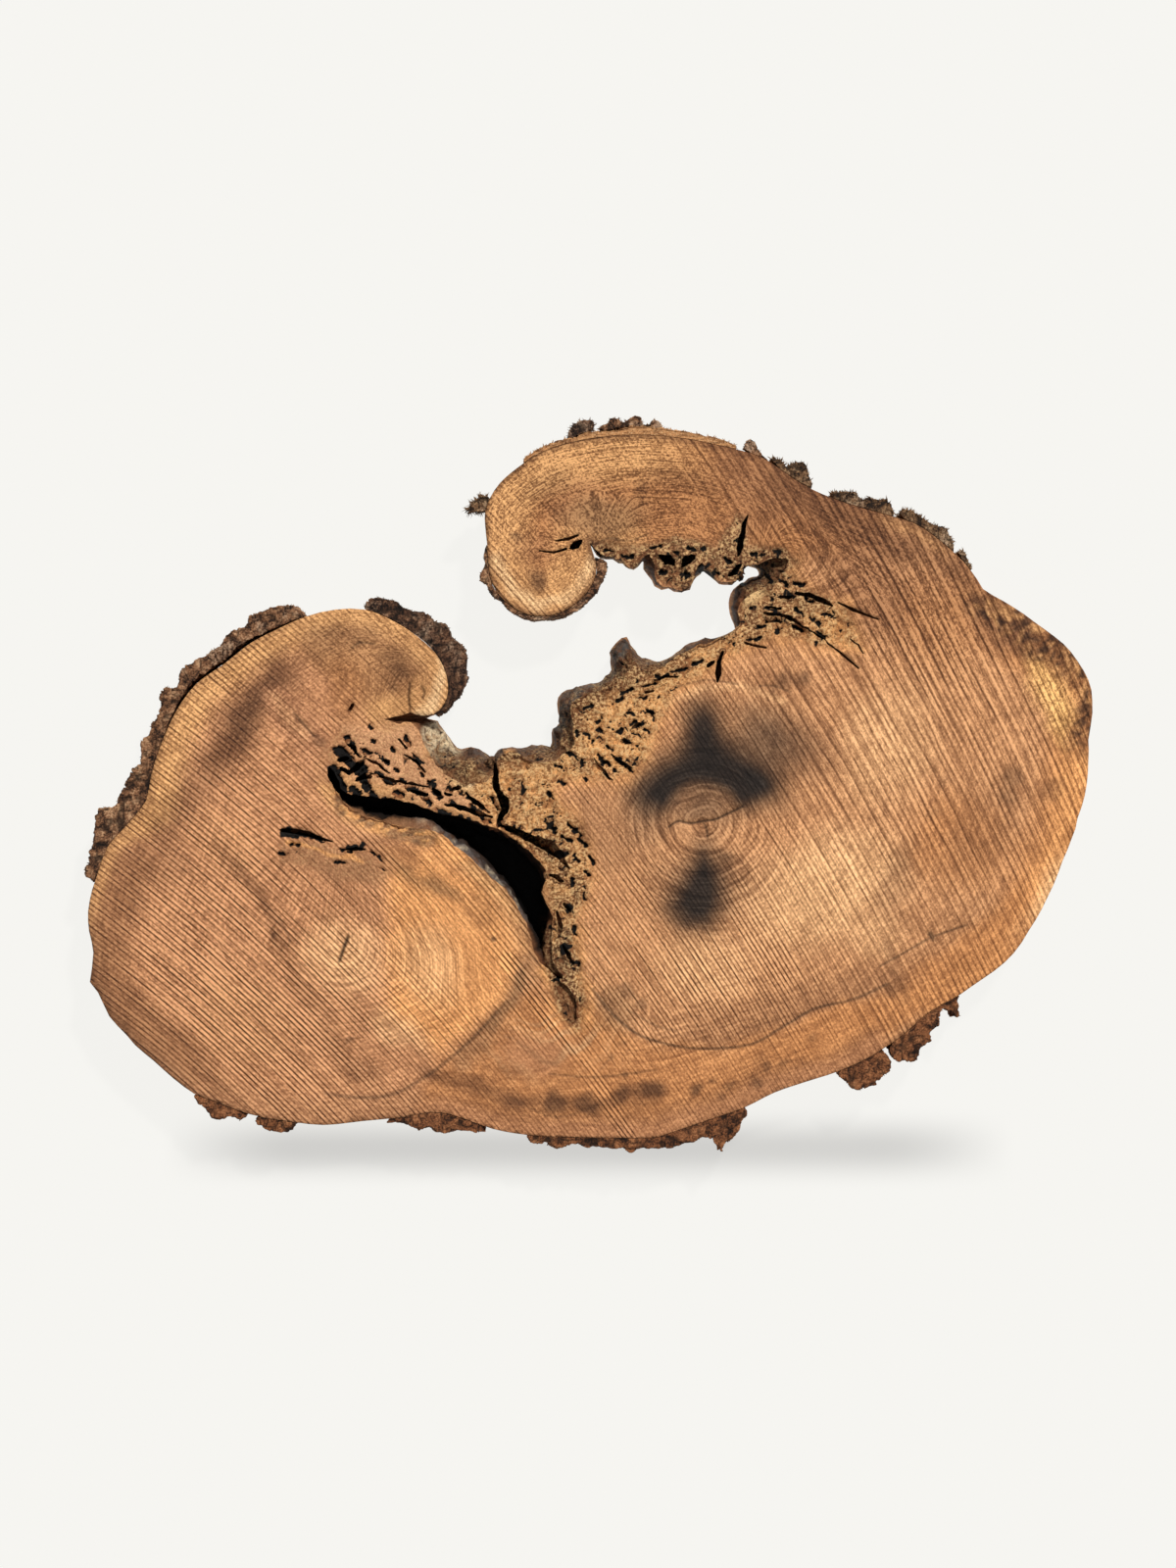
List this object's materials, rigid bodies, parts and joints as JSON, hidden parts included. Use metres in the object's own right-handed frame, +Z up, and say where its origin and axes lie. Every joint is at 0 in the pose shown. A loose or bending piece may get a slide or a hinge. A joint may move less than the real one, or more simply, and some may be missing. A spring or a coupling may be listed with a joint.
{
  "type": "wood slice",
  "caption": "Thick live-edge slice across a twin-stemmed tree, with curled lobes round an open hollow, a rotten pocket and cracks, and bark plates on its rim.",
  "frame": {"origin": "under the middle of the whole slice, on its lower sawn face", "axes": "+X along the slice's length, +Y across it towards the arm that curls over the hollow, +Z up out of the upper sawn face"},
  "size_m": [1.1402, 0.8336, 0.1016],
  "materials": {
    "wood": "saw-marked end grain",
    "bark_left_flank": "rough bark",
    "bark_left_curl": "rough bark",
    "bark_arm_curl": "rough bark",
    "bark_shoulder_near": "flaky bark",
    "bark_shoulder_middle": "flaky bark",
    "bark_shoulder_far": "flaky bark",
    "bark_shoulder_end": "flaky bark",
    "bark_lower_right_far": "rough bark",
    "bark_lower_right_near": "rough bark",
    "bark_bottom_middle": "rough bark",
    "bark_bottom_centre": "rough bark",
    "bark_bottom_left": "rough bark",
    "bark_bottom_far_left": "rough bark",
    "bast_arm_top": "fibrous bast",
    "bark_flake_dark": "flaky bark",
    "bark_flake_pale": "flaky bark",
    "bast_tuft_tip": "fibrous bast",
    "bark_curled_flake": "flaky bark"
  },
  "bodies": {
    "root": {"wood": "wood", "bark_left_flank": "bark_left_flank", "bark_left_curl": "bark_left_curl", "bark_arm_curl": "bark_arm_curl", "bark_shoulder_near": "bark_shoulder_near", "bark_shoulder_middle": "bark_shoulder_middle", "bark_shoulder_far": "bark_shoulder_far", "bark_shoulder_end": "bark_shoulder_end", "bark_lower_right_far": "bark_lower_right_far", "bark_lower_right_near": "bark_lower_right_near", "bark_bottom_middle": "bark_bottom_middle", "bark_bottom_centre": "bark_bottom_centre", "bark_bottom_left": "bark_bottom_left", "bark_bottom_far_left": "bark_bottom_far_left", "bast_arm_top": "bast_arm_top", "bark_flake_dark": "bark_flake_dark", "bark_flake_pale": "bark_flake_pale", "bast_tuft_tip": "bast_tuft_tip", "bark_curled_flake": "bark_curled_flake"}
  },
  "joints": []
}
